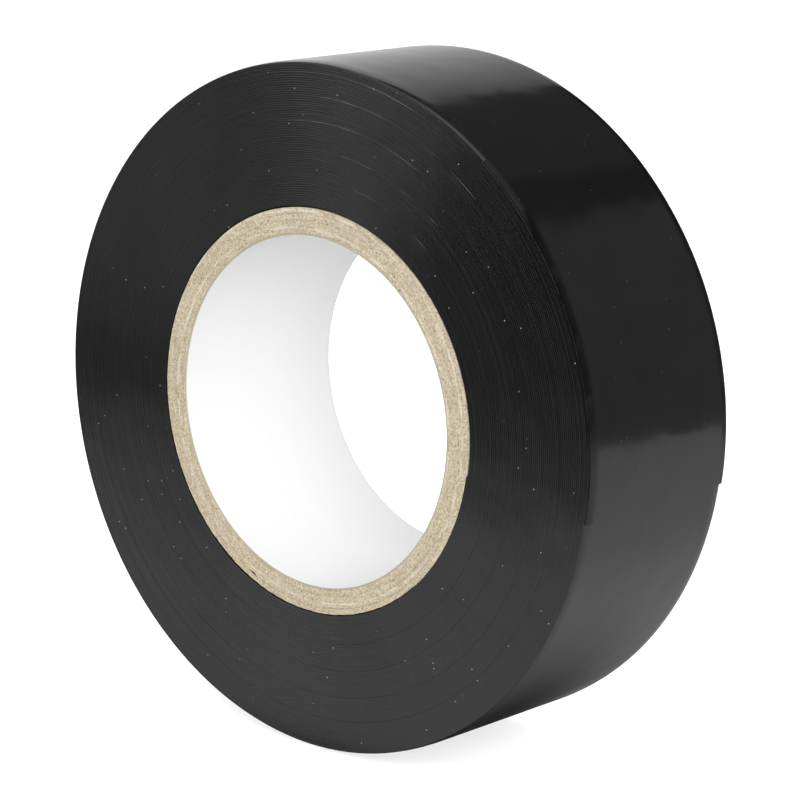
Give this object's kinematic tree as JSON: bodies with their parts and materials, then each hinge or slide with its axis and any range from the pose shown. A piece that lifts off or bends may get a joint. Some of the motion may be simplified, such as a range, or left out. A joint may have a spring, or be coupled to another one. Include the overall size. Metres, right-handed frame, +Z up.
{
  "type": "electrical tape roll",
  "caption": "Roll of glossy black PVC electrical tape wound on a white-lined paperboard core; the loose end of the tape lifts and curls away from the roll.",
  "frame": {"origin": "on the bore's axis, halfway across the width of the roll", "axes": "+Y along the roll's axis from the front face to the back face, +Z up as the roll stands on its rim, +X to the right as seen from the front, where the tape's free end lies"},
  "size_m": [0.0611, 0.019, 0.0609],
  "materials": {
    "liner_paper": "matte",
    "core_board": "matte",
    "wound_tape": "satin",
    "tape_film": "gloss",
    "tape_adhesive": "satin"
  },
  "bodies": {
    "roll": {"bore_liner": "liner_paper", "core_ply_1": "core_board", "core_ply_2": "core_board", "core_ply_3": "core_board", "core_ply_4": "core_board", "tape_band_1": "wound_tape", "tape_band_2": "wound_tape", "tape_band_3": "wound_tape", "tape_band_4": "wound_tape", "tape_band_5": "wound_tape"},
    "tail_1": {"tail_film_1": "tape_film", "tail_adhesive_1": "tape_adhesive"},
    "tail_2": {"tail_film_2": "tape_film", "tail_adhesive_2": "tape_adhesive"},
    "tail_3": {"tail_film_3": "tape_film", "tail_adhesive_3": "tape_adhesive"},
    "tail_4": {"tail_film_4": "tape_film", "tail_adhesive_4": "tape_adhesive"},
    "tail_5": {"tail_film_5": "tape_film", "tail_adhesive_5": "tape_adhesive"},
    "tail_6": {"tail_film_6": "tape_film", "tail_adhesive_6": "tape_adhesive"}
  },
  "joints": [
    {"name": "peel_1", "type": "hinge", "parent": "roll", "child": "tail_1", "pos_m": [0.01928, 0, 0.02373], "axis": [0, -1, 0], "range_deg": [0, 30]},
    {"name": "peel_2", "type": "hinge", "parent": "tail_1", "child": "tail_2", "pos_m": [0.02311, 0, 0.02003], "axis": [0, -1, 0], "range_deg": [0, 30]},
    {"name": "peel_3", "type": "hinge", "parent": "tail_2", "child": "tail_3", "pos_m": [0.02624, 0, 0.01573], "axis": [0, -1, 0], "range_deg": [0, 30]},
    {"name": "peel_4", "type": "hinge", "parent": "tail_3", "child": "tail_4", "pos_m": [0.02857, 0, 0.01094], "axis": [0, -1, 0], "range_deg": [0, 30]},
    {"name": "peel_5", "type": "hinge", "parent": "tail_4", "child": "tail_5", "pos_m": [0.03004, 0, 0.00582], "axis": [0, -1, 0], "range_deg": [0, 30]},
    {"name": "peel_6", "type": "hinge", "parent": "tail_5", "child": "tail_6", "pos_m": [0.03059, 0, 0.00053], "axis": [0, -1, 0], "range_deg": [0, 30]}
  ]
}
